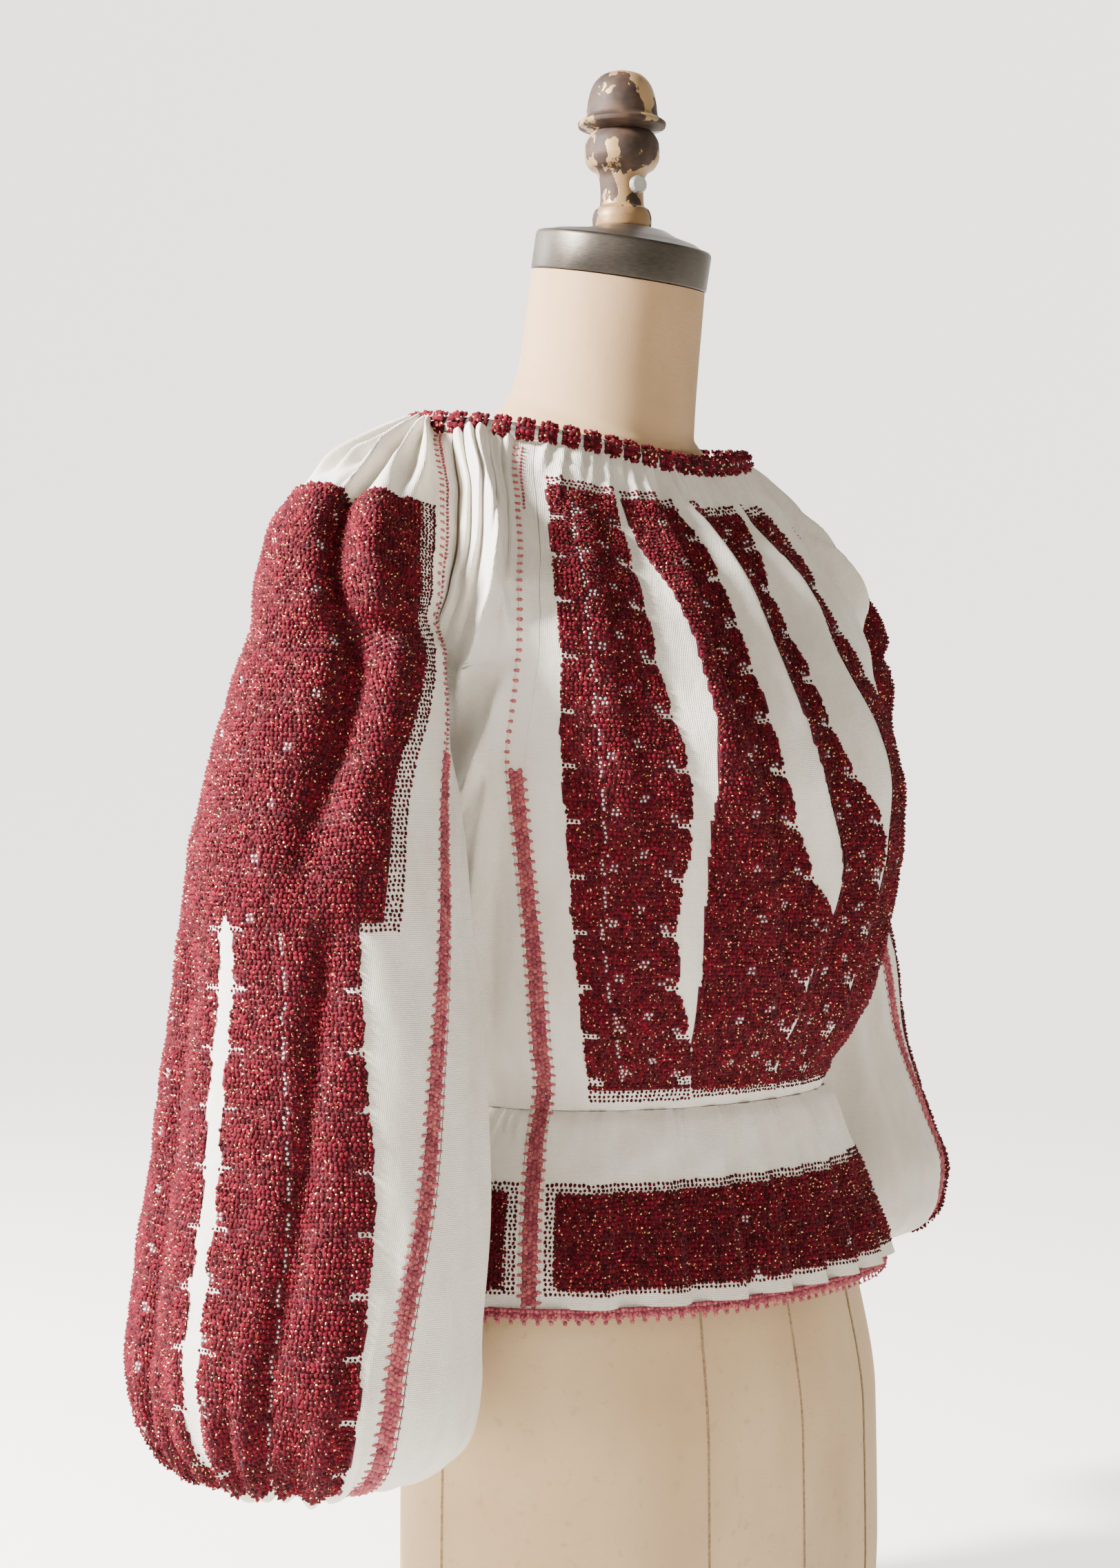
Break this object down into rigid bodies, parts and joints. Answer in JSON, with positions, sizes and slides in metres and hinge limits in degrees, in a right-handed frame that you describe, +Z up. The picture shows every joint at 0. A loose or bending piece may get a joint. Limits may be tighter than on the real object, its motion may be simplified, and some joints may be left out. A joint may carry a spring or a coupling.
{
  "type": "romanian ie blouse on a dress form",
  "caption": "White cotton folk blouse with dense burgundy wool embroidery, gathered neck, full sleeves and flounce, worn by a limbless linen dress form.",
  "frame": {"origin": "centre of the whole's footprint box, on the surface the form stands on", "axes": "+Z up, the blouse's front faces -Y, the wearer's left is +X"},
  "size_m": [0.645, 0.2896, 0.893],
  "materials": {
    "white_cotton": "matt plain weave, slightly aged, burgundy wool worked into it where the columns stand",
    "burgundy_wool": "knotted wool with gold thread glints",
    "rose_crochet": "matt crocheted cotton",
    "form_linen": "aged linen cover with seams",
    "grey_steel": "dull, lightly rubbed",
    "gold_paint": "old gold paint chipped to dark brown",
    "screw_steel": "worn steel"
  },
  "bodies": {
    "root": {"form_torso": "form_linen", "neck_cap": "grey_steel", "finial": "gold_paint", "finial_set_screw": "screw_steel", "front_panel": "white_cotton", "back_panel": "white_cotton", "peplum_front": "white_cotton", "peplum_back": "white_cotton", "neckband": "burgundy_wool", "hem_edging": "rose_crochet", "side_panel_right": "white_cotton", "sleeve_right": "white_cotton", "underarm_right": "white_cotton", "cuff_right": "white_cotton", "peplum_side_right": "white_cotton", "front_strip_right": "rose_crochet", "back_strip_right": "rose_crochet", "sleeve_front_strip_right": "rose_crochet", "sleeve_back_strip_right": "rose_crochet", "side_panel_left": "white_cotton", "sleeve_left": "white_cotton", "underarm_left": "white_cotton", "cuff_left": "white_cotton", "peplum_side_left": "white_cotton", "front_strip_left": "rose_crochet", "back_strip_left": "rose_crochet", "sleeve_front_strip_left": "rose_crochet", "sleeve_back_strip_left": "rose_crochet"}
  },
  "joints": []
}
